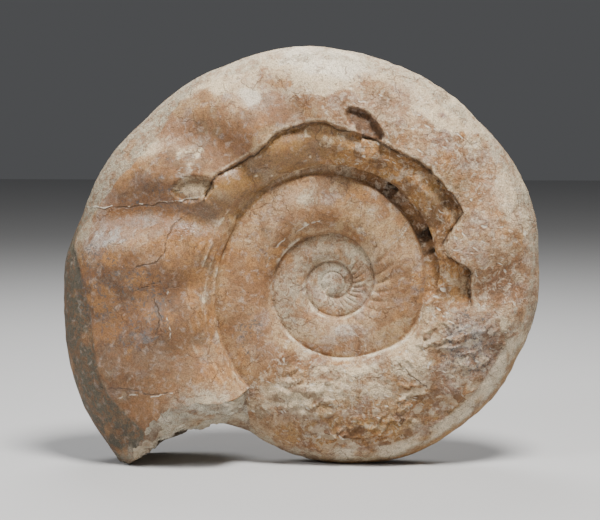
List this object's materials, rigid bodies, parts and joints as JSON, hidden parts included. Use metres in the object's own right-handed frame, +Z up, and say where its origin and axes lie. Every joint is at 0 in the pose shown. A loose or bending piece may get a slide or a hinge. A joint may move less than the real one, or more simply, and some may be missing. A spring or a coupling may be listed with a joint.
{
  "type": "ammonite fossil",
  "caption": "Large coiled ammonite fossil in ochre and grey stone, standing on its edge, its last chamber broken open in an arch above the surface.",
  "frame": {"origin": "centre of the box's underside, on the surface that the fossil stands on", "axes": "+X along the coil's greatest width, away from the broken mouth; +Y through the coil, from the better preserved side to the other one; +Z up"},
  "size_m": [0.4474, 0.1144, 0.389],
  "materials": {
    "fossil_stone": "satin"
  },
  "bodies": {
    "root": {"ammonite_fossil": "fossil_stone"}
  },
  "joints": []
}
